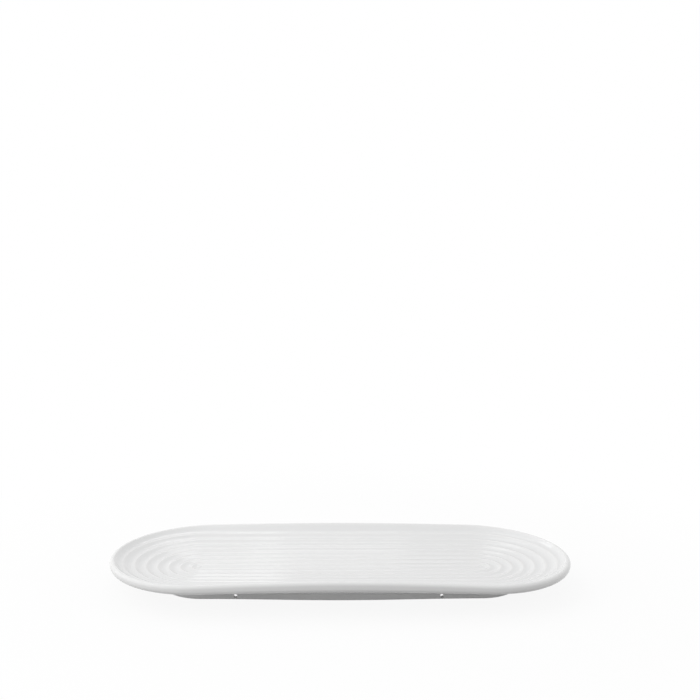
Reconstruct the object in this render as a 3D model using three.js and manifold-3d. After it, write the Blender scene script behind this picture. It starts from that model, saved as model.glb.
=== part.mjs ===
// A long serving platter in glazed white ceramic, with round ends and straight sides.
// Concentric flutes follow the outline from a middle ridge out to a thick rounded rim,
// and an inset foot ring is joined to the flat underside.
// Millimetres, +Z up, +X along the platter, origin on the table under its middle.

import * as THREE from "three";
import { mergeVertices } from "three/addons/utils/BufferGeometryUtils.js";
import Module from "manifold-3d";

// Outline of the rim, seen from above
const LENGTH = 380;
const WIDTH = 156;

// Heights that stack up from the table
const FOOT_HEIGHT = 9.6;
const FLOOR_THICKNESS = 3.8;
const WELL_DEPTH = 11;
const WELL_CURVE = 2.75;

// Flutes, counted from the middle ridge to the rim. Their round ends are centred a little outside
// those of the rim, so the last flute is narrower at the ends than along the sides.
const FLUTE_COUNT = 8;
const FLUTE_DEPTH = 0.9;
const MIDDLE_FLUTE_WIDTH = 8.8;
const RIM_FLUTE_WIDTH = 10.5;
const FLUTE_STRETCH = 3.5;
const RIDGE_ROUNDING = 1.2;

// Rim: its face, its two rounded edges and the lift of its long sides
const RIM_FACE_HEIGHT = 7.2;
const RIM_TOP_RADIUS = 2.8;
const RIM_BOTTOM_RADIUS = 3.75;
const RIM_INNER_TILT = 17;
const RIM_UNDER_TILT = 15;
const FRONT_SWEEP = 4.2;
const BACK_SWEEP = 2.5;
const SWEEP_UNDER_SHARE = 0.68;

// Underside between the rim and the foot
const UNDER_CURVE = 1.15;
const SEAT_MARGIN = 1;

// Foot ring
const FOOT_WIDTH = 72;
const FOOT_BOW = 3.2;
const FOOT_WALL = 4.2;
const FOOT_EDGE_RADIUS = 1.2;
const FOOT_COVE_RADIUS = 2.4;

// Hanging holes through the front wall of the foot
const HOLE_DIAMETER = 3;
const HOLE_SPACING = 165;
const HOLE_SHIFT = -2.5;
const HOLE_HEIGHT = 2.8;
const HOLE_OVERRUN = 4;

// Fineness of the surfaces
const ARC_STEPS = 24;
const SIDE_STEPS = 10;
const FLUTE_STEPS = 6;
const EDGE_STEPS = 6;
const FOOT_EDGE_STEPS = 4;
const UNDER_STEPS = 7;
const HOLE_SIDES = 20;

const rimRadius = WIDTH / 2;
const endCentre = LENGTH / 2 - rimRadius;
const floorTop = FOOT_HEIGHT + FLOOR_THICKNESS;
const middleRidgeHeight = floorTop + FLUTE_DEPTH;
const rimHeight = middleRidgeHeight + WELL_DEPTH;
const footRadius = FOOT_WIDTH / 2;
const seatRadius = footRadius + FOOT_BOW + FOOT_COVE_RADIUS + SEAT_MARGIN;

const glaze = new THREE.MeshStandardMaterial({ color: 0xf2f2f0, roughness: 0.16, metalness: 0 });
const footGlaze = new THREE.MeshStandardMaterial({ color: 0xecebe8, roughness: 0.22, metalness: 0 });

const { degToRad, smoothstep, lerp } = THREE.MathUtils;

// Stations go anticlockwise round the outline. Each has the point of the middle line that it
// belongs to, its number along that line, and the direction from there to the rim.
function outlineStations() {
  const stations = [];
  for (const side of [1, -1]) {
    const first = side > 0 ? 0 : SIDE_STEPS;
    for (let i = 0; i <= ARC_STEPS; i++) {
      const angle = Math.PI * (i / ARC_STEPS - 0.5);
      stations.push({
        x: side * endCentre,
        spine: first,
        direction: new THREE.Vector2(side * Math.cos(angle), side * Math.sin(angle)),
      });
    }
    for (let i = 1; i < SIDE_STEPS; i++) {
      stations.push({
        x: side * endCentre * (1 - (2 * i) / SIDE_STEPS),
        spine: first + side * i,
        direction: new THREE.Vector2(0, side),
      });
    }
  }
  return stations;
}

const stations = outlineStations();

// Lift of the rim at a station: greatest in the middle of a long side, none at the ends.
function sweepAt(station) {
  const rimX = station.x + station.direction.x * rimRadius;
  const reach = Math.abs(rimX) / (LENGTH / 2);
  const height = station.direction.y < 0 ? FRONT_SWEEP : BACK_SWEEP;
  return (height * (1 + Math.cos(Math.PI * reach))) / 2;
}

// How far the long sides of the foot bow out at a place along the middle line.
function footBowAt(x) {
  return (FOOT_BOW * (1 + Math.cos((Math.PI * x) / endCentre))) / 2;
}

// Place along the middle line at a share of the stretch of the flutes.
function stretched(x, share) {
  return x * (1 + (share * FLUTE_STRETCH) / endCentre);
}

// A section point is a distance out from the middle line, a height, and shares of the sweep and
// of the stretch.
function placePoint(station, point) {
  return [
    stretched(station.x, point.stretch ?? 0) + station.direction.x * point.r,
    station.direction.y * point.r,
    point.z + (point.sweep ?? 0) * sweepAt(station),
  ];
}

// Points along an arc of the section, from one direction of the surface to another, in degrees.
function arcPoints(centre, radius, from, to, steps) {
  const points = [];
  for (let i = 0; i <= steps; i++) {
    const angle = degToRad(lerp(from, to, i / steps));
    points.push({ r: centre.r + radius * Math.cos(angle), z: centre.z + radius * Math.sin(angle) });
  }
  return points;
}

// The rounded rim: over the top edge, down the face and round the bottom edge.
function rimSection() {
  const topCentre = { r: rimRadius - RIM_TOP_RADIUS, z: rimHeight - RIM_TOP_RADIUS };
  const bottomCentre = {
    r: rimRadius - RIM_BOTTOM_RADIUS,
    z: rimHeight - RIM_FACE_HEIGHT + RIM_BOTTOM_RADIUS,
  };
  const top = arcPoints(topCentre, RIM_TOP_RADIUS, 90 + RIM_INNER_TILT, 0, EDGE_STEPS);
  const bottom = arcPoints(bottomCentre, RIM_BOTTOM_RADIUS, 0, RIM_UNDER_TILT - 90, EDGE_STEPS);
  top.forEach((point) => (point.sweep = 1));
  bottom.forEach((point) => (point.sweep = SWEEP_UNDER_SHARE));
  return [...top, ...bottom];
}

// Height of the ridges: a well that is flat in the middle and climbs to the rim.
function wellHeight(r, edge) {
  return middleRidgeHeight + (edge.z - middleRidgeHeight) * Math.pow(r / edge.r, WELL_CURVE);
}

// Depth of a flute across its width, as a share: a round hollow between two softened ridges.
function fluteHollow(share, width) {
  const softness = (Math.PI * RIDGE_ROUNDING) / (2 * width);
  const hollow = Math.hypot(Math.sin(Math.PI * share), softness) - softness;
  return hollow / (Math.hypot(1, softness) - softness);
}

// The fluted well, from the first point beside the middle ridge to the inner edge of the rim.
function wellSection(edge) {
  const pitch = (edge.r - RIM_FLUTE_WIDTH - MIDDLE_FLUTE_WIDTH) / (FLUTE_COUNT - 2);
  const points = [];
  for (let flute = 0; flute < FLUTE_COUNT; flute++) {
    const last = flute === FLUTE_COUNT - 1;
    const inner = flute === 0 ? 0 : MIDDLE_FLUTE_WIDTH + (flute - 1) * pitch;
    const outer = last ? edge.r : MIDDLE_FLUTE_WIDTH + flute * pitch;
    for (let i = 1; i <= FLUTE_STEPS - (last ? 1 : 0); i++) {
      const share = (1 - Math.cos((Math.PI * i) / FLUTE_STEPS)) / 2;
      const r = lerp(inner, outer, share);
      points.push({
        r,
        z: wellHeight(r, edge) - FLUTE_DEPTH * fluteHollow(share, outer - inner),
        sweep: last ? smoothstep(r, inner, outer) : 0,
        stretch: last ? 1 - share : 1,
      });
    }
  }
  return points;
}

// The underside, from the rim in to the edge of the flat seat of the foot.
function undersideSection(edge) {
  const points = [];
  for (let i = 1; i <= UNDER_STEPS; i++) {
    const share = 1 - i / UNDER_STEPS;
    points.push({
      r: lerp(seatRadius, edge.r, share),
      z: lerp(FOOT_HEIGHT, edge.z, Math.pow(share, UNDER_CURVE)),
      sweep: SWEEP_UNDER_SHARE * share * share,
    });
  }
  return points;
}

// Section of the foot ring: a bearing edge with rounded corners, upright walls, and a cove on
// both sides where they spread out to the seat.
function footSection() {
  const inner = footRadius - FOOT_WALL;
  const edge = FOOT_EDGE_RADIUS;
  const cove = FOOT_COVE_RADIUS;
  const coveHeight = FOOT_HEIGHT - cove;
  return [
    ...arcPoints({ r: inner + edge, z: edge }, edge, 180, 270, FOOT_EDGE_STEPS),
    ...arcPoints({ r: footRadius - edge, z: edge }, edge, 270, 360, FOOT_EDGE_STEPS),
    ...arcPoints({ r: footRadius + cove, z: coveHeight }, cove, 180, 90, FOOT_EDGE_STEPS),
    ...arcPoints({ r: inner - cove, z: coveHeight }, cove, 90, 0, FOOT_EDGE_STEPS),
  ];
}

function geometryOf(positions, index) {
  const geometry = new THREE.BufferGeometry();
  geometry.setAttribute("position", new THREE.Float32BufferAttribute(positions.flat(), 3));
  geometry.setIndex(index);
  geometry.computeVertexNormals();
  return geometry;
}

// Two triangles between neighbouring stations of two neighbouring rows of points.
function pushStrip(index, near, far) {
  const count = stations.length;
  for (let j = 0; j < count; j++) {
    const next = (j + 1) % count;
    if (far(j) !== far(next)) index.push(near(j), far(j), far(next));
    if (near(j) !== near(next)) index.push(near(j), far(next), near(next));
  }
}

// A solid swept round the outline that closes along the middle line, above and below.
function sweptDish(section, topHeight, bottomHeight) {
  const positions = [];
  for (const [z, stretch] of [[topHeight, 1], [bottomHeight, 0]]) {
    for (let i = 0; i <= SIDE_STEPS; i++) {
      positions.push([stretched(endCentre * (1 - (2 * i) / SIDE_STEPS), stretch), 0, z]);
    }
  }
  const firstRow = positions.length;
  for (const point of section) {
    for (const station of stations) positions.push(placePoint(station, point));
  }
  const topSpine = (j) => stations[j].spine;
  const bottomSpine = (j) => SIDE_STEPS + 1 + stations[j].spine;
  const row = (i) => (j) => firstRow + i * stations.length + j;
  const index = [];
  pushStrip(index, topSpine, row(0));
  for (let i = 0; i + 1 < section.length; i++) pushStrip(index, row(i), row(i + 1));
  pushStrip(index, row(section.length - 1), bottomSpine);
  return geometryOf(positions, index);
}

// A ring swept round the outline from a section that closes on itself, with bowed long sides.
function sweptRing(section) {
  const positions = section.flatMap((point) =>
    stations.map((station) => placePoint(station, { r: point.r + footBowAt(station.x), z: point.z })),
  );
  const row = (i) => (j) => (i % section.length) * stations.length + j;
  const index = [];
  section.forEach((_, i) => pushStrip(index, row(i + 1), row(i)));
  return geometryOf(positions, index);
}

const wasm = await Module();
wasm.setup();

function solidOf(geometry) {
  const bare = geometry.clone();
  bare.deleteAttribute("normal");
  bare.deleteAttribute("uv");
  const merged = mergeVertices(bare);
  return new wasm.Manifold(
    new wasm.Mesh({
      numProp: 3,
      vertProperties: Float32Array.from(merged.attributes.position.array),
      triVerts: Uint32Array.from(merged.index.array),
    }),
  );
}

function cutAway(geometry, cutters) {
  const cut = cutters.reduce((solid, cutter) => solid.subtract(solidOf(cutter)), solidOf(geometry));
  const mesh = cut.getMesh();
  const result = new THREE.BufferGeometry();
  result.setAttribute("position", new THREE.Float32BufferAttribute(mesh.vertProperties, mesh.numProp));
  result.setIndex(Array.from(mesh.triVerts));
  result.computeVertexNormals();
  return result;
}

// Two small holes through the front wall of the foot, for a hanging wire.
function hangingHoles() {
  return [-1, 1].map((side) => {
    const x = HOLE_SHIFT + (side * HOLE_SPACING) / 2;
    const hole = new THREE.CylinderGeometry(
      HOLE_DIAMETER / 2,
      HOLE_DIAMETER / 2,
      FOOT_WALL + 2 * HOLE_OVERRUN,
      HOLE_SIDES,
    );
    hole.translate(x, FOOT_WALL / 2 - footRadius - footBowAt(x), HOLE_HEIGHT);
    return hole;
  });
}

function platterBody() {
  const rim = rimSection();
  const section = [...wellSection(rim[0]), ...rim, ...undersideSection(rim.at(-1))];
  return sweptDish(section, middleRidgeHeight, FOOT_HEIGHT);
}

function footRing() {
  return cutAway(sweptRing(footSection()), hangingHoles());
}

function namedPiece(name, geometry, material) {
  const piece = new THREE.Mesh(geometry, material);
  piece.name = name;
  return piece;
}

const platter = new THREE.Group();
platter.add(namedPiece("platter_body", platterBody(), glaze));
platter.add(namedPiece("foot_ring", footRing(), footGlaze));

export default platter;
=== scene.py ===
"""Looks for a long round-ended serving platter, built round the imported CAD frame.

Geometry Nodes grow the body and the foot ring by the rules that shape the CAD solids, in finer steps.
Lengths are in metres and angles in degrees, unless a name says otherwise.
"""

import logging
import math
from collections.abc import Mapping
from dataclasses import dataclass
from enum import Enum
from typing import Any, Union

import bpy
from mathutils import Matrix, Vector


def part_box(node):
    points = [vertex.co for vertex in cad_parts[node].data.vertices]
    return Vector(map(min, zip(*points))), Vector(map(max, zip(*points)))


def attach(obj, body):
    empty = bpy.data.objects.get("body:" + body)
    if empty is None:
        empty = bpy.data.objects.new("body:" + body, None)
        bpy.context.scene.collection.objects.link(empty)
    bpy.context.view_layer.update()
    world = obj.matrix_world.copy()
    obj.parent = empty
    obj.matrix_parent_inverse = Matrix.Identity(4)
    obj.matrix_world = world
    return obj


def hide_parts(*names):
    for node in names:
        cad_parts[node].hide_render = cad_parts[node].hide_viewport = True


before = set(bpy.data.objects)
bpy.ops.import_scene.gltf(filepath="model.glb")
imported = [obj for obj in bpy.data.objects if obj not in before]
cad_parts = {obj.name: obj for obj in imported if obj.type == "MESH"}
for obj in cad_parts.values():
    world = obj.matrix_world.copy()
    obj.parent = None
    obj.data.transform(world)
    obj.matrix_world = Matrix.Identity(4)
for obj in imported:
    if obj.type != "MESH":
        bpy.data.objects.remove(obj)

ROOT_BODY = "root"
MM = 0.001
WELD_DISTANCE = 0.002 * MM
HOLLOW_ATTRIBUTE = "flute_hollow"

log = logging.getLogger("platter")


class Op(Enum):
    """The Math node operations that this script uses."""

    ADD = "ADD"
    SUBTRACT = "SUBTRACT"
    MULTIPLY = "MULTIPLY"
    DIVIDE = "DIVIDE"
    POWER = "POWER"
    ROOT = "SQRT"
    SINE = "SINE"
    COSINE = "COSINE"
    FLOOR = "FLOOR"
    ABSOLUTE = "ABSOLUTE"
    LEAST = "MINIMUM"
    MOST = "MAXIMUM"
    ABOVE = "GREATER_THAN"
    BELOW = "LESS_THAN"


class Ray(Enum):
    """Light Path outputs, named by the kind of ray that they mark."""

    CAMERA = "Is Camera Ray"
    GLOSSY = "Is Glossy Ray"
    TRANSMISSION = "Is Transmission Ray"


class Wire:
    """An output socket that takes part in sums, so that node maths reads as plain expressions."""

    def __init__(self, board: "Board", socket: bpy.types.NodeSocket) -> None:
        """Keeps the socket and the board that it sits on."""
        self.board = board
        self.socket = socket

    def __add__(self, other: "Number") -> "Wire":
        """Gives self + other."""
        return self.board.sum(Op.ADD, self, other)

    def __radd__(self, other: "Number") -> "Wire":
        """Gives other + self."""
        return self.board.sum(Op.ADD, other, self)

    def __sub__(self, other: "Number") -> "Wire":
        """Gives self - other."""
        return self.board.sum(Op.SUBTRACT, self, other)

    def __rsub__(self, other: "Number") -> "Wire":
        """Gives other - self."""
        return self.board.sum(Op.SUBTRACT, other, self)

    def __mul__(self, other: "Number") -> "Wire":
        """Gives self times other."""
        return self.board.sum(Op.MULTIPLY, self, other)

    def __rmul__(self, other: "Number") -> "Wire":
        """Gives other times self."""
        return self.board.sum(Op.MULTIPLY, other, self)

    def __truediv__(self, other: "Number") -> "Wire":
        """Gives self over other."""
        return self.board.sum(Op.DIVIDE, self, other)

    def __rtruediv__(self, other: "Number") -> "Wire":
        """Gives other over self."""
        return self.board.sum(Op.DIVIDE, other, self)

    def __pow__(self, other: "Number") -> "Wire":
        """Gives self raised to other."""
        return self.board.sum(Op.POWER, self, other)

    def __abs__(self) -> "Wire":
        """Gives the size of self without its sign."""
        return self.board.sum(Op.ABSOLUTE, self)

    def sine(self) -> "Wire":
        """Gives the sine of self, in radians."""
        return self.board.sum(Op.SINE, self)

    def cosine(self) -> "Wire":
        """Gives the cosine of self, in radians."""
        return self.board.sum(Op.COSINE, self)

    def root(self) -> "Wire":
        """Gives the square root of self."""
        return self.board.sum(Op.ROOT, self)

    def floor(self) -> "Wire":
        """Gives the whole number at or under self."""
        return self.board.sum(Op.FLOOR, self)

    def least(self, other: "Number") -> "Wire":
        """Gives the smaller of self and other."""
        return self.board.sum(Op.LEAST, self, other)

    def most(self, other: "Number") -> "Wire":
        """Gives the larger of self and other."""
        return self.board.sum(Op.MOST, self, other)

    def above(self, other: "Number") -> "Wire":
        """Gives 1 where self is above other, and 0 elsewhere."""
        return self.board.sum(Op.ABOVE, self, other)

    def below(self, other: "Number") -> "Wire":
        """Gives 1 where self is under other, and 0 elsewhere."""
        return self.board.sum(Op.BELOW, self, other)

    def held(self, low: "Number", high: "Number") -> "Wire":
        """Gives self, held between low and high."""
        return self.most(low).least(high)

    def eased(self, low: "Number", high: "Number") -> "Wire":
        """Gives a smooth step from 0 at low to 1 at high."""
        share = ((self - low) / (high - low)).held(0.0, 1.0)
        return share * share * (3.0 - 2.0 * share)

    def choose(self, no: "Number", yes: "Number") -> "Wire":
        """Gives no where self is 0 and yes where self is 1."""
        return no + self * (yes - no)


Number = Union[Wire, float, int]


class Board:
    """A node tree, with one method for sums and one for every other node."""

    def __init__(self, tree: bpy.types.NodeTree) -> None:
        """Keeps the tree and takes out the nodes that it came with."""
        self.tree = tree
        tree.nodes.clear()

    def sum(self, op: Op, *values: Number) -> Wire:
        """Adds one Math node.

        Args:
            op: What the node does.
            values: Its inputs, in order.

        Returns:
            The result.
        """
        return self.wire("ShaderNodeMath", {"operation": op.value}, dict(enumerate(values)))

    def add(self, kind: str, settings: Mapping[str, Any], sockets: Mapping[Any, Any]) -> bpy.types.Node:
        """Adds any node, with its settings made before its sockets are filled.

        Args:
            kind: The node's type.
            settings: Values for the node's own properties.
            sockets: A value or a wire for each input, by number or by name.

        Returns:
            The node.
        """
        node = self.tree.nodes.new(kind)
        for name, value in settings.items():
            setattr(node, name, value)
        shown = {socket.name: socket for socket in reversed(node.inputs) if socket.enabled}
        for key, value in sockets.items():
            socket = node.inputs[key] if isinstance(key, int) else shown[key]
            if isinstance(value, Wire):
                self.tree.links.new(value.socket, socket)
            else:
                socket.default_value = value
        return node

    def wire(
        self, kind: str, settings: Mapping[str, Any], sockets: Mapping[Any, Any], output: str = ""
    ) -> Wire:
        """Adds any node and gives one of its outputs.

        Args:
            kind: The node's type.
            settings: Values for the node's own properties.
            sockets: A value or a wire for each input, by number or by name.
            output: The name of the output, or nothing for the first one that is in use.

        Returns:
            The output.
        """
        node = self.add(kind, settings, sockets)
        used = [socket for socket in node.outputs if socket.enabled and output in ("", socket.name)]
        return Wire(self, used[0])

    def blend(self, share: Number, first: Any, second: Any) -> Wire:
        """Mixes two colours.

        Args:
            share: 0 for the first colour, 1 for the second.
            first: A colour or a wire.
            second: A colour or a wire.

        Returns:
            The mixed colour.
        """
        sockets = {"Factor": share, "A": first, "B": second}
        return self.wire("ShaderNodeMix", {"data_type": "RGBA"}, sockets)

    def noise(self, place: Wire, scale: float, detail: float) -> Wire:
        """Adds a noise texture.

        Args:
            place: The coordinates to read it at.
            scale: Grains per metre.
            detail: How many finer layers it has.

        Returns:
            A value of about 0.3 to 0.7.
        """
        sockets = {"Vector": place, "Scale": scale, "Detail": detail, "Roughness": 0.5}
        return self.wire("ShaderNodeTexNoise", {}, sockets)

    def shader_mix(self, share: Number, first: Wire, second: Wire) -> Wire:
        """Mixes two shaders.

        Args:
            share: 0 for the first shader, 1 for the second.
            first: A shader.
            second: A shader.

        Returns:
            The mixed shader.
        """
        return self.wire("ShaderNodeMixShader", {}, {0: share, 1: first, 2: second})


class ShapeBoard(Board):
    """A Geometry Nodes tree with a named input for each size, that grows one plain mesh."""

    def __init__(self, name: str) -> None:
        """Starts an empty tree.

        Args:
            name: The tree's name.
        """
        super().__init__(bpy.data.node_groups.new(name, "GeometryNodeTree"))
        self.given: dict[str, Any] = {}
        self.tree.interface.new_socket("Geometry", in_out="OUTPUT", socket_type="NodeSocketGeometry")
        self.entry = self.tree.nodes.new("NodeGroupInput")
        self.exit = self.tree.nodes.new("NodeGroupOutput")

    def given_value(self, name: str, value: Any, kind: str) -> Wire:
        """Adds a named input.

        Args:
            name: What the modifier shows.
            value: What the modifier is set to.
            kind: The socket's type.

        Returns:
            The input, for use inside the tree.
        """
        item = self.tree.interface.new_socket(name, in_out="INPUT", socket_type=kind)
        self.given[item.identifier] = value
        return Wire(self, self.entry.outputs[name])

    def size(self, name: str, value: float) -> Wire:
        """Adds a named input for a length, angle or share."""
        return self.given_value(name, value, "NodeSocketFloat")

    def count(self, name: str, value: int) -> Wire:
        """Adds a named input for a whole number."""
        return self.given_value(name, value, "NodeSocketInt")

    def sheet(self, rows: Number, columns: Number) -> tuple[Wire, Wire, Wire]:
        """Adds a flat grid of points, which Set Position then bends into the shape.

        Args:
            rows: The number of points along the outline.
            columns: The number of points along the section.

        Returns:
            The grid, each point's row number and its column number.
        """
        grid = self.wire("GeometryNodeMeshGrid", {}, {"Vertices X": rows, "Vertices Y": columns}, "Mesh")
        index = self.wire("GeometryNodeInputIndex", {}, {})
        row = ((index + 0.5) / columns).floor()
        return grid, row, index - row * columns

    def moved(self, mesh: Wire, x: Number, y: Number, z: Number) -> Wire:
        """Puts every point of a mesh at x, y and z."""
        place = self.wire("ShaderNodeCombineXYZ", {}, {"X": x, "Y": y, "Z": z})
        return self.wire("GeometryNodeSetPosition", {}, {"Geometry": mesh, "Position": place})

    def welded(self, mesh: Wire) -> Wire:
        """Joins points that lie on each other, which closes the seams and the ends."""
        return self.wire("GeometryNodeMergeByDistance", {}, {"Geometry": mesh, "Distance": WELD_DISTANCE})

    def grow(
        self, mesh: Wire, name: str, material: bpy.types.Material, sharp_angle: float
    ) -> bpy.types.Object:
        """Ends the tree, runs it once and keeps the result as a plain mesh.

        Args:
            mesh: The finished shape inside the tree.
            name: The object's name.
            material: What the shape is made of.
            sharp_angle: Edges that turn by more than this angle stay crisp.

        Returns:
            The new object, at the origin.
        """
        coat = self.given_value("Material", material, "NodeSocketMaterial")
        smooth = self.wire("GeometryNodeSetShadeSmooth", {}, {0: mesh})
        plain = self.wire("GeometryNodeRealizeInstances", {}, {"Geometry": smooth})
        coated = self.wire("GeometryNodeSetMaterial", {}, {"Geometry": plain, "Material": coat})
        self.tree.links.new(coated.socket, self.exit.inputs[0])
        piece = bpy.data.objects.new(name, bpy.data.meshes.new(name + "_seed"))
        bpy.context.scene.collection.objects.link(piece)
        modifier = piece.modifiers.new("Shape", "NODES")
        modifier.node_group = self.tree
        for identifier, value in self.given.items():
            modifier[identifier] = value
        graph = bpy.context.evaluated_depsgraph_get()
        grown = bpy.data.meshes.new_from_object(
            piece.evaluated_get(graph), preserve_all_data_layers=True, depsgraph=graph
        )
        piece.modifiers.remove(modifier)
        piece.data = grown
        grown.name = name
        grown.set_sharp_from_angle(angle=math.radians(sharp_angle))
        return piece


@dataclass(frozen=True)
class Skin:
    """What a finish feeds to its shader at each point."""

    colour: Wire
    roughness: Wire
    relief: Wire


@dataclass(frozen=True)
class Glaze:
    """A glossy white glaze, thin on the ridges and pooled a little in the hollows."""

    name: str
    thin_colour: tuple[float, float, float, float] = (0.87, 0.87, 0.868, 1.0)
    pooled_colour: tuple[float, float, float, float] = (0.845, 0.848, 0.85, 1.0)
    cloud_scale: float = 35.0
    cloud_depth: float = 0.35
    low_roughness: float = 0.08
    high_roughness: float = 0.16
    refraction: float = 1.5
    ripple_scale: float = 140.0
    relief_height: float = 0.012 * MM

    def material(self) -> bpy.types.Material:
        """Builds the material.

        Returns:
            The material, painted by object coordinates and by how deep a point lies in a flute.
        """
        made = bpy.data.materials.new(self.name)
        made.use_nodes = True
        board = Board(made.node_tree)
        place = board.wire("ShaderNodeTexCoord", {}, {}, "Object")
        skin = self.skin(board, place, board.noise(place, self.cloud_scale, 3.0))
        bump = {"Strength": 1.0, "Distance": self.relief_height, "Height": skin.relief}
        sockets = {
            "Base Color": skin.colour,
            "Roughness": skin.roughness,
            "IOR": self.refraction,
            "Normal": board.wire("ShaderNodeBump", {}, bump),
        }
        shell = board.wire("ShaderNodeBsdfPrincipled", {}, sockets)
        board.add("ShaderNodeOutputMaterial", {}, {"Surface": shell})
        return made

    def skin(self, board: Board, place: Wire, cloud: Wire) -> Skin:
        """Works out the glaze at each point.

        Args:
            board: The material's tree.
            place: Object coordinates.
            cloud: Slow noise, which makes the glaze uneven.

        Returns:
            The glazed surface.
        """
        hollow = board.wire("ShaderNodeAttribute", {"attribute_name": HOLLOW_ATTRIBUTE}, {}, "Fac")
        pooling = (hollow + (cloud - 0.5) * self.cloud_depth).held(0.0, 1.0)
        return Skin(
            colour=board.blend(pooling, self.thin_colour, self.pooled_colour),
            roughness=self.low_roughness + (self.high_roughness - self.low_roughness) * cloud,
            relief=board.noise(place, self.ripple_scale, 1.0),
        )


@dataclass(frozen=True)
class FootGlaze(Glaze):
    """The same glaze on the foot, wiped off its bearing edge down to the ground clay."""

    clay_colour: tuple[float, float, float, float] = (0.66, 0.65, 0.63, 1.0)
    clay_roughness: float = 0.85
    grain_scale: float = 2600.0
    bare_height: float = 0.2 * MM
    bare_edge: float = 0.35 * MM
    bare_wobble: float = 0.5 * MM

    def skin(self, board: Board, place: Wire, cloud: Wire) -> Skin:
        """Works out glaze or clay at each point.

        Args:
            board: The material's tree.
            place: Object coordinates.
            cloud: Slow noise, which also makes the glaze line wander.

        Returns:
            The surface, glazed above the line and bare below it.
        """
        glazed = super().skin(board, place, cloud)
        height = board.wire("ShaderNodeSeparateXYZ", {}, {"Vector": place}, "Z")
        line = height + (cloud - 0.5) * self.bare_wobble
        bare = 1.0 - line.eased(self.bare_height, self.bare_height + self.bare_edge)
        return Skin(
            colour=board.blend(bare, glazed.colour, self.clay_colour),
            roughness=bare.choose(glazed.roughness, self.clay_roughness),
            relief=bare.choose(glazed.relief, board.noise(place, self.grain_scale, 2.0)),
        )


@dataclass(frozen=True)
class Outline:
    """A stadium in plan, half circles and straight sides, walked anticlockwise from the front right."""

    end_centre: float
    arc_steps: int
    side_steps: int

    @property
    def rows(self) -> int:
        """The number of points on one round, with the first one counted again at the end."""
        return 2 * (self.arc_steps + self.side_steps) + 1

    def stations(self, board: ShapeBoard, row: Wire) -> tuple[Wire, Wire, Wire]:
        """Turns a row number into a place on the outline.

        Args:
            board: The tree.
            row: The row number.

        Returns:
            The place on the middle line, and the X and Y of the outward direction there.
        """
        centre = board.size("End Centre", self.end_centre)
        arc = board.count("Arc Steps", self.arc_steps)
        straight = board.count("Side Steps", self.side_steps)
        half = arc + straight
        turned = ((row + 0.5) / half).floor()
        step = row - turned * half
        way = 1.0 - 2.0 * turned.below(1.5) * turned.above(0.5)
        angle = (step.least(arc) / arc - 0.5) * math.pi
        along = (step - arc).most(0.0) / straight
        return way * centre * (1.0 - 2.0 * along), way * angle.cosine(), way * angle.sine()


@dataclass(frozen=True)
class Well:
    """Rules for the points of the well.

    Each point has a radius, a height, a depth in its flute (0 to 1), and shares of the sweep and the stretch.
    """

    radius: Wire
    height: Wire
    hollow: Wire
    lift: Wire
    stretch: Wire


@dataclass(frozen=True)
class RimEdge:
    """Rules for one rounded edge of the rim: an arc of a circle that touches the rim's outer face."""

    centre_radius: Wire
    centre_height: Wire
    bend: Wire
    start: Wire
    turn: Wire

    def at(self, share: Wire) -> tuple[Wire, Wire]:
        """Gives the radius and the height at a share of the arc."""
        angle = self.start + self.turn * share
        return self.centre_radius + self.bend * angle.cosine(), self.centre_height + self.bend * angle.sine()


class CadPiece:
    """A piece that stands in place of one CAD node."""

    node: str
    slot: str

    def dress(self, piece: bpy.types.Object) -> None:
        """Hangs the grown piece on the frame in place of its CAD node.

        Args:
            piece: The grown piece.
        """
        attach(piece, ROOT_BODY)
        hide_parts(self.node)


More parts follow.
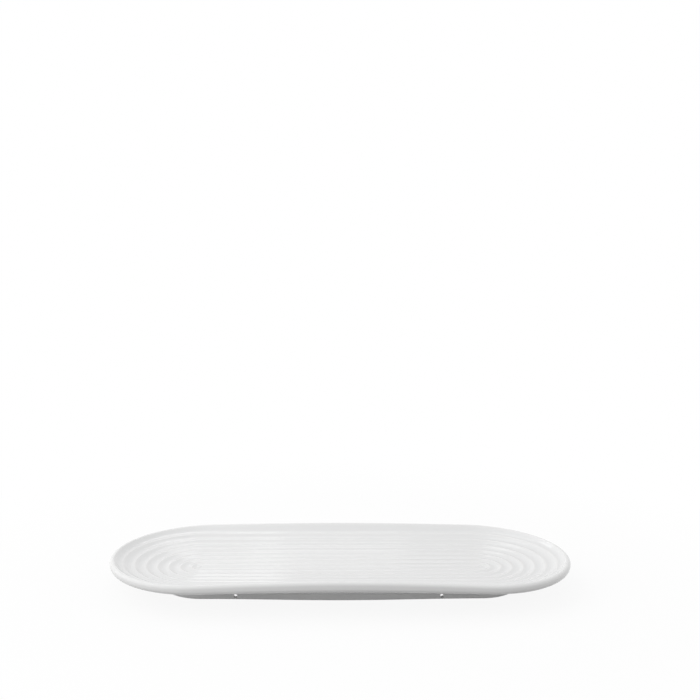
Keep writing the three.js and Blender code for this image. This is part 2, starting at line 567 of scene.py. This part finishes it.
@dataclass
class PlatterBody(CadPiece):
    """The fluted well, the rising flank and the thick rim whose long sides sweep up in the middle."""

    length: float
    width: float
    foot_height: float
    seat_radius: float
    glaze: Glaze
    node: str = "platter_body"
    slot: str = "body_glaze"
    floor_thickness: float = 3.8 * MM
    well_depth: float = 11.0 * MM
    well_curve: float = 2.75
    flute_count: int = 8
    flute_depth: float = 0.9 * MM
    middle_flute_width: float = 8.8 * MM
    rim_flute_width: float = 10.5 * MM
    flute_stretch: float = 3.5 * MM
    ridge_rounding: float = 1.2 * MM
    rim_face_height: float = 7.2 * MM
    rim_top_radius: float = 2.8 * MM
    rim_bottom_radius: float = 3.75 * MM
    rim_inner_tilt: float = 17.0
    rim_under_tilt: float = 15.0
    front_sweep: float = 4.2 * MM
    back_sweep: float = 2.5 * MM
    sweep_under_share: float = 0.68
    under_curve: float = 1.15
    seat_ring_share: float = 0.96
    arc_steps: int = 96
    side_steps: int = 72
    flute_steps: int = 16
    edge_steps: int = 14
    under_steps: int = 16
    sharp_angle: float = 40.0

    def build(self) -> bpy.types.Object:
        """Grows the body.

        Returns:
            The body as a plain mesh in its place.
        """
        board = ShapeBoard("Platter body")
        rim_radius = board.size("Rim Radius", self.width / 2)
        flutes = board.count("Flute Count", self.flute_count)
        per_flute = board.count("Flute Steps", self.flute_steps)
        edge = board.count("Edge Steps", self.edge_steps)
        under = board.count("Under Steps", self.under_steps)
        outline = Outline((self.length - self.width) / 2, self.arc_steps, self.side_steps)
        well_end = flutes * per_flute
        top_end = well_end + edge
        face_end = top_end + 1.0 + edge
        under_end = face_end + under
        grid, row, column = board.sheet(outline.rows, under_end + 3.0)
        spine, out_x, out_y = outline.stations(board, row)
        foot_height = board.size("Foot Height", self.foot_height)
        ridge = foot_height + board.size("Floor Thickness", self.floor_thickness + self.flute_depth)
        rim_height = ridge + board.size("Well Depth", self.well_depth)
        top = self.rim_edge(
            board, "Top", rim_radius, rim_height, self.rim_top_radius, 90.0 + self.rim_inner_tilt, 0.0
        )
        base_height = rim_height - board.size("Rim Face Height", self.rim_face_height)
        base = self.rim_edge(
            board, "Bottom", rim_radius, base_height, -self.rim_bottom_radius, 0.0, self.rim_under_tilt - 90.0
        )
        lip_r, lip_z = top.at(column * 0.0)
        well = self.well(board, column.least(well_end), flutes, per_flute, ridge, lip_r, lip_z)
        top_r, top_z = top.at((column - well_end).held(0.0, edge) / edge)
        base_r, base_z = base.at((column - top_end - 1.0).held(0.0, edge) / edge)
        brow_r, brow_z = base.at(column * 0.0 + 1.0)
        share = 1.0 - (column - face_end).held(0.0, under) / under
        seat = board.size("Seat Radius", self.seat_radius)
        under_r = seat + (brow_r - seat) * share
        under_z = foot_height + (brow_z - foot_height) * share ** board.size("Under Curve", self.under_curve)
        past_well = column.above(well_end + 0.5)
        past_top = column.above(top_end + 0.5)
        past_face = column.above(face_end + 0.5)
        past_under = column.above(under_end + 0.5)
        at_middle = column.above(under_end + 1.5)
        floor_r = at_middle.choose(seat * self.seat_ring_share, 0.0)
        below_r = past_face.choose(base_r, past_under.choose(under_r, floor_r))
        below_z = past_face.choose(base_z, past_under.choose(under_z, foot_height))
        radius = past_well.choose(well.radius, past_top.choose(top_r, below_r))
        height = past_well.choose(well.height, past_top.choose(top_z, below_z))
        half = board.size("Under Sweep Share", self.sweep_under_share)
        lift_share = past_well.choose(well.lift, past_top.choose(1.0, half * share * share))
        lift = lift_share * self.sweep(board, spine + out_x * rim_radius, out_y)
        stretch = board.size("Flute Stretch", self.flute_stretch / outline.end_centre)
        along = spine * (1.0 + stretch * well.stretch * (1.0 - past_well))
        bent = board.moved(grid, along + out_x * radius, out_y * radius, height + lift)
        marked = board.wire(
            "GeometryNodeStoreNamedAttribute",
            {"data_type": "FLOAT", "domain": "POINT"},
            {"Geometry": bent, "Name": HOLLOW_ATTRIBUTE, "Value": well.hollow * (1.0 - past_well)},
        )
        outward = board.wire("GeometryNodeFlipFaces", {}, {"Mesh": board.welded(marked)})
        return board.grow(outward, "fluted_body", self.glaze.material(), self.sharp_angle)

    def rim_edge(
        self, board: ShapeBoard, name: str, rim: Wire, level: Wire, radius: float, start: float, end: float
    ) -> RimEdge:
        """Makes the rules for one rounded edge of the rim.

        Args:
            board: The tree.
            name: Which edge it is, for the names of its inputs.
            rim: The radius of the rim's outer face.
            level: The height that the edge rounds away from.
            radius: The edge's radius, negative for an edge that lies above its level.
            start: The angle at which the edge starts.
            end: The angle at which it ends.

        Returns:
            The edge.
        """
        bend = board.size(name + " Edge Radius", abs(radius))
        return RimEdge(
            centre_radius=rim - bend,
            centre_height=level - bend * math.copysign(1.0, radius),
            bend=bend,
            start=board.size(name + " Edge Start", math.radians(start)),
            turn=board.size(name + " Edge Turn", math.radians(end - start)),
        )

    def well(
        self,
        board: ShapeBoard,
        step: Wire,
        flutes: Wire,
        per_flute: Wire,
        ridge: Wire,
        lip_r: Wire,
        lip_z: Wire,
    ) -> Well:
        """Makes the fluted upper side, from the middle line out to the lip.

        Args:
            board: The tree.
            step: The number of the point along the well.
            flutes: The number of flutes.
            per_flute: The number of points across each.
            ridge: The height of the ridges in the middle.
            lip_r: The radius at which the rim takes over.
            lip_z: The height there.

        Returns:
            The rules for the well's points.
        """
        middle = board.size("Middle Flute Width", self.middle_flute_width)
        widest = board.size("Rim Flute Width", self.rim_flute_width)
        rounding = board.size("Ridge Rounding", self.ridge_rounding)
        pitch = (lip_r - widest - middle) / (flutes - 2.0)
        flute = ((step + 0.5) / per_flute).floor().least(flutes - 1.0)
        is_last = flute.above(flutes - 1.5)
        share = (1.0 - ((step - flute * per_flute) / per_flute * math.pi).cosine()) / 2.0
        inner = (middle + (flute - 1.0) * pitch) * flute.least(1.0)
        outer = is_last.choose(middle + flute * pitch, lip_r)
        radius = inner + (outer - inner) * share
        soft = math.pi / 2.0 * rounding / (outer - inner)
        wave = (share * math.pi).sine()
        hollow = ((wave * wave + soft * soft).root() - soft) / ((1.0 + soft * soft).root() - soft)
        climb = (radius / lip_r) ** board.size("Well Curve", self.well_curve)
        height = ridge + (lip_z - ridge) * climb - board.size("Flute Depth", self.flute_depth) * hollow
        return Well(radius, height, hollow, radius.eased(lip_r - widest, lip_r), 1.0 - is_last * share)

    def sweep(self, board: ShapeBoard, rim_x: Wire, out_y: Wire) -> Wire:
        """Lifts the long sides of the rim.

        Args:
            board: The tree.
            rim_x: How far along the platter the rim is.
            out_y: The Y of the outward direction, negative on the front.

        Returns:
            The lift at the rim.
        """
        front = board.size("Front Sweep", self.front_sweep)
        back = board.size("Back Sweep", self.back_sweep)
        reach = (abs(rim_x) / board.size("Half Length", self.length / 2.0)).least(1.0)
        return out_y.below(0.0).choose(back, front) * (1.0 + (reach * math.pi).cosine()) / 2.0


@dataclass
class FootRing(CadPiece):
    """The inset foot under the body, with a ground bearing edge and two small holes in its front wall."""

    end_centre: float
    width: float
    height: float
    glaze: Glaze
    node: str = "foot_ring"
    slot: str = "foot_glaze"
    bow: float = 3.2 * MM
    wall: float = 4.2 * MM
    edge_radius: float = 1.2 * MM
    cove_radius: float = 2.4 * MM
    seat_margin: float = 1.0 * MM
    hole_diameter: float = 3.0 * MM
    hole_spacing: float = 165.0 * MM
    hole_shift: float = -2.5 * MM
    hole_height: float = 2.8 * MM
    hole_flare: float = 0.5 * MM
    hole_overrun: float = 1.0 * MM
    hole_sides: int = 32
    hole_rings: int = 30
    arc_steps: int = 72
    side_steps: int = 60
    edge_steps: int = 8
    sharp_angle: float = 40.0

    @property
    def seat_radius(self) -> float:
        """How far the flat seat under the body reaches out, a little past the foot."""
        return self.width / 2 + self.bow + self.cove_radius + self.seat_margin

    def build(self) -> bpy.types.Object:
        """Grows the foot.

        Returns:
            The foot as a plain mesh in its place.
        """
        board = ShapeBoard("Foot ring")
        edge = board.count("Edge Steps", self.edge_steps)
        round_count = 4.0 * (edge + 1.0)
        outline = Outline(self.end_centre, self.arc_steps, self.side_steps)
        grid, row, column = board.sheet(outline.rows, round_count + 1.0)
        spine, out_x, out_y = outline.stations(board, row)
        radius, height = self.section(board, edge, column * column.below(round_count - 0.5))
        bow = board.size("Bow", self.bow)
        reach = radius + self.bulge(bow, spine)
        bent = board.welded(board.moved(grid, spine + out_x * reach, out_y * reach, height))
        pierced = board.wire(
            "GeometryNodeMeshBoolean",
            {"operation": "DIFFERENCE", "solver": "EXACT"},
            {"Mesh 1": bent, "Mesh 2": self.holes(board, bow)},
            "Mesh",
        )
        return board.grow(pierced, "bearing_foot", self.glaze.material(), self.sharp_angle)

    def bulge(self, bow: Wire, along: Wire) -> Wire:
        """Gives how far the long sides bow out at a place along the middle line."""
        return bow / 2.0 * (1.0 + (along * (math.pi / self.end_centre)).cosine())

    def section(self, board: ShapeBoard, edge: Wire, column: Wire) -> tuple[Wire, Wire]:
        """Makes the closed section: inner and outer bearing edges, then outer and inner coves under the body.

        Args:
            board: The tree.
            edge: The number of steps in each of the four arcs.
            column: The number of the point along the section.

        Returns:
            The radius and the height.
        """
        outer = board.size("Foot Radius", self.width / 2)
        wall = board.size("Wall", self.wall)
        edge_radius = board.size("Edge Radius", self.edge_radius)
        cove_radius = board.size("Cove Radius", self.cove_radius)
        top = board.size("Foot Height", self.height)
        arc = ((column + 0.5) / (edge + 1.0)).floor()
        turn = arc + (column - arc * (edge + 1.0)) / edge
        is_cove = arc.above(1.5)
        is_outer = arc.above(0.5) * arc.below(2.5)
        inward = 1.0 - 2.0 * is_outer
        bend = is_cove.choose(edge_radius, cove_radius)
        middle_r = outer - wall * (1.0 - is_outer) + inward * is_cove.choose(edge_radius, 0.0 - cove_radius)
        middle_z = is_cove.choose(edge_radius, top - cove_radius)
        quarter = turn * (math.pi / 2.0)
        angle = is_cove.choose(math.pi + quarter, 2.0 * math.pi - quarter)
        return middle_r + bend * angle.cosine(), middle_z + bend * angle.sine()

    def holes(self, board: ShapeBoard, bow: Wire) -> Wire:
        """Makes the two cutters, which flare where they leave the wall.

        Args:
            board: The tree.
            bow: How far the long sides bow out in the middle.

        Returns:
            Both cutters in their places.
        """
        bore = board.size("Hole Radius", self.hole_diameter / 2)
        flare = board.size("Hole Flare", self.hole_flare)
        half = board.size("Half Wall", self.wall / 2)
        spread = board.size("Half Hole Spacing", self.hole_spacing / 2)
        shift = board.size("Hole Shift", self.hole_shift)
        level = board.size("Hole Height", self.hole_height)
        depth = board.size("Hole Depth", self.wall + 2 * self.hole_overrun)
        sockets = {
            "Vertices": self.hole_sides,
            "Side Segments": self.hole_rings,
            "Radius": bore,
            "Depth": depth,
        }
        rod = board.wire("GeometryNodeMeshCylinder", {}, sockets, "Mesh")
        place = board.wire("GeometryNodeInputPosition", {}, {})
        parts = board.add("ShaderNodeSeparateXYZ", {}, {"Vector": place})
        x, y, z = (Wire(board, socket) for socket in parts.outputs)
        near_mouth = ((abs(z) - (half - flare)) / flare).held(0.0, 1.0)
        swell = 1.0 + flare / bore * (1.0 - (1.0 - near_mouth * near_mouth).most(0.0).root())
        flared = board.moved(rod, x * swell, 0.0 - z, y * swell)
        middle = board.size("Wall Middle", (self.width - self.wall) / 2)
        left_y = 0.0 - middle - self.bulge(bow, shift - spread)
        right_y = 0.0 - middle - self.bulge(bow, shift + spread)
        left = board.wire("ShaderNodeCombineXYZ", {}, {"X": shift - spread, "Y": left_y, "Z": level})
        right = board.wire("ShaderNodeCombineXYZ", {}, {"X": shift + spread, "Y": right_y, "Z": level})
        ends = {"Count": 2, "Start Location": left, "Offset": right}
        points = board.wire("GeometryNodeMeshLine", {"mode": "END_POINTS"}, ends)
        copies = board.wire("GeometryNodeInstanceOnPoints", {}, {"Points": points, "Instance": flared})
        return board.wire("GeometryNodeRealizeInstances", {}, {"Geometry": copies})


@dataclass(frozen=True)
class SoftLamp:
    """A square studio lamp that points at the platter.

    The glaze mirrors a small lamp. In place of a large one it mirrors the white surroundings, as if the lamp
    stood behind white cloth, so that the well keeps its flutes from every side.
    """

    name: str
    place: tuple[float, float, float]
    side: float
    radiance: float
    mirrored: bool

    def build(self) -> bpy.types.Object:
        """Makes the lamp.

        Returns:
            The lamp, aimed at the middle of the platter.
        """
        light = bpy.data.lights.new(self.name, "AREA")
        light.shape = "SQUARE"
        light.size = self.side
        light.energy = self.radiance * math.pi * self.side * self.side
        lamp = bpy.data.objects.new(self.name, light)
        lamp.location = self.place
        lamp.rotation_mode = "QUATERNION"
        lamp.rotation_quaternion = (-Vector(self.place)).to_track_quat("-Z", "Y")
        lamp.visible_camera = False
        lamp.visible_glossy = self.mirrored
        bpy.context.scene.collection.objects.link(lamp)
        return lamp


@dataclass
class Studio:
    """A plain white studio: a floor that keeps a faint shadow, an even sky and soft lamps."""

    lamps: tuple[SoftLamp, ...] = (
        SoftLamp("left_lamp", (-3.6, 0.0, 2.7), 5.4, 1.15, mirrored=False),
        SoftLamp("right_lamp", (2.72, 0.0, 1.0), 2.0, 1.1, mirrored=False),
        SoftLamp("front_lamp", (-0.6, -0.6, 0.3), 0.6, 1.1, mirrored=False),
        SoftLamp("back_lamp", (0.0, 0.74, 1.18), 0.35, 1.2, mirrored=True),
        SoftLamp("small_lamp", (-0.15, 0.5, 0.5), 0.16, 1.6, mirrored=True),
    )
    sky_level: float = 0.56
    floor_half: float = 6.0
    floor_bounce: float = 0.36
    shadow_share: float = 0.1
    shadow_reach: float = 0.45
    white: tuple[float, float, float, float] = (1.0, 1.0, 1.0, 1.0)

    def build(self) -> None:
        """Makes the floor, the sky and the lamps."""
        self.floor()
        self.sky()
        for lamp in self.lamps:
            lamp.build()

    def seen(self, board: Board) -> Wire:
        """Marks the rays that see the white background: straight, mirrored or through glass.

        Args:
            board: The tree of the floor or the sky.

        Returns:
            1 for such a ray, and 0 for one that only carries light.
        """
        path = board.add("ShaderNodeLightPath", {}, {})
        kinds = [Wire(board, path.outputs[ray.value]) for ray in Ray]
        return kinds[0].most(kinds[1]).most(kinds[2])

    def floor(self) -> bpy.types.Object:
        """Makes the floor, which is white to the eye and clear from below.

        Returns:
            The floor.
        """
        reach = self.floor_half
        mesh = bpy.data.meshes.new("floor")
        corners = [(-reach, -reach, 0.0), (reach, -reach, 0.0), (reach, reach, 0.0), (-reach, reach, 0.0)]
        mesh.from_pydata(corners, [], [(0, 1, 2, 3)])
        made = bpy.data.materials.new("white_floor")
        made.use_nodes = True
        board = Board(made.node_tree)
        place = board.wire("ShaderNodeTexCoord", {}, {}, "Object")
        distance = board.wire("ShaderNodeVectorMath", {"operation": "LENGTH"}, {0: place}, "Value")
        near = 1.0 - distance.eased(self.shadow_reach / 2.0, self.shadow_reach)
        glow = board.wire("ShaderNodeEmission", {}, {"Color": self.white, "Strength": 1.0})
        shade = board.wire("ShaderNodeBsdfDiffuse", {}, {"Color": self.white})
        bounce = (self.floor_bounce, self.floor_bounce, self.floor_bounce, 1.0)
        plain = board.wire("ShaderNodeBsdfDiffuse", {}, {"Color": bounce})
        shown = board.shader_mix(near * self.shadow_share, glow, shade)
        upper = board.shader_mix(self.seen(board), plain, shown)
        lower = board.wire("ShaderNodeBsdfTransparent", {}, {})
        from_below = board.wire("ShaderNodeNewGeometry", {}, {}, "Backfacing")
        board.add("ShaderNodeOutputMaterial", {}, {"Surface": board.shader_mix(from_below, upper, lower)})
        mesh.materials.append(made)
        floor = bpy.data.objects.new("floor", mesh)
        bpy.context.scene.collection.objects.link(floor)
        return floor

    def sky(self) -> None:
        """Makes the sky, which is white to the eye and softer as a light."""
        world = bpy.data.worlds.new("studio")
        world.use_nodes = True
        bpy.context.scene.world = world
        board = Board(world.node_tree)
        level = self.seen(board).choose(self.sky_level, 1.0)
        glow = board.wire("ShaderNodeBackground", {}, {"Color": self.white, "Strength": level})
        board.add("ShaderNodeOutputWorld", {}, {"Surface": glow})


@dataclass(frozen=True)
class Viewpoint:
    """The camera, placed so that the platter's origin falls where it does in the photo."""

    picture_side: float = 700.0
    origin_column: float = 341.1
    origin_row: float = 582.64
    focal_pixels: float = 976.0
    distance: float = 839.1 * MM
    elevation: float = 20.847
    turn: float = 1.833
    roll: float = -0.574
    sensor: float = 36.0

    def build(self) -> bpy.types.Object:
        """Makes the camera.

        Returns:
            The camera.
        """
        centre = self.picture_side / 2
        across = (self.origin_column - centre) / self.focal_pixels
        down = (self.origin_row - centre) / self.focal_pixels
        pitch = math.radians(self.elevation) - math.atan(down)
        heading = Matrix.Rotation(-math.radians(self.turn), 4, "Z")
        tilt = Matrix.Rotation(math.pi / 2 - pitch, 4, "X")
        rolled = Matrix.Rotation(-math.radians(self.roll), 4, "Z")
        facing = heading @ tilt @ rolled
        sight = facing @ Vector((across, -down, -1.0)).normalized()
        data = bpy.data.cameras.new("photo_camera")
        data.sensor_width = self.sensor
        data.lens = self.focal_pixels * self.sensor / self.picture_side
        camera = bpy.data.objects.new("photo_camera", data)
        camera.matrix_world = Matrix.Translation(sight * -self.distance) @ facing
        bpy.context.scene.collection.objects.link(camera)
        bpy.context.scene.camera = camera
        return camera


def main() -> None:
    """Builds the platter, its studio and the camera, in that order."""
    logging.basicConfig(level=logging.INFO, format="%(name)s: %(message)s")
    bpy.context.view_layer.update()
    body_low, body_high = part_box("platter_body")
    foot_low, foot_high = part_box("foot_ring")
    length = body_high.x - body_low.x
    width = body_high.y - body_low.y
    foot_width = foot_high.y - foot_low.y - 2 * (FootRing.cove_radius + FootRing.bow)
    body_glaze = Glaze("white_glaze")
    foot_glaze = FootGlaze("foot_glaze")
    foot = FootRing((length - width) / 2, foot_width, foot_high.z - foot_low.z, foot_glaze)
    body = PlatterBody(length, width, body_low.z, foot.seat_radius, body_glaze)
    for part in (body, foot):
        piece = part.build()
        part.dress(piece)
        log.info("%s stands for %s with %d faces", piece.name, part.node, len(piece.data.polygons))
    Studio().build()
    Viewpoint().build()
    bpy.context.scene.view_settings.view_transform = "Standard"


if __name__ == "__main__":
    main()
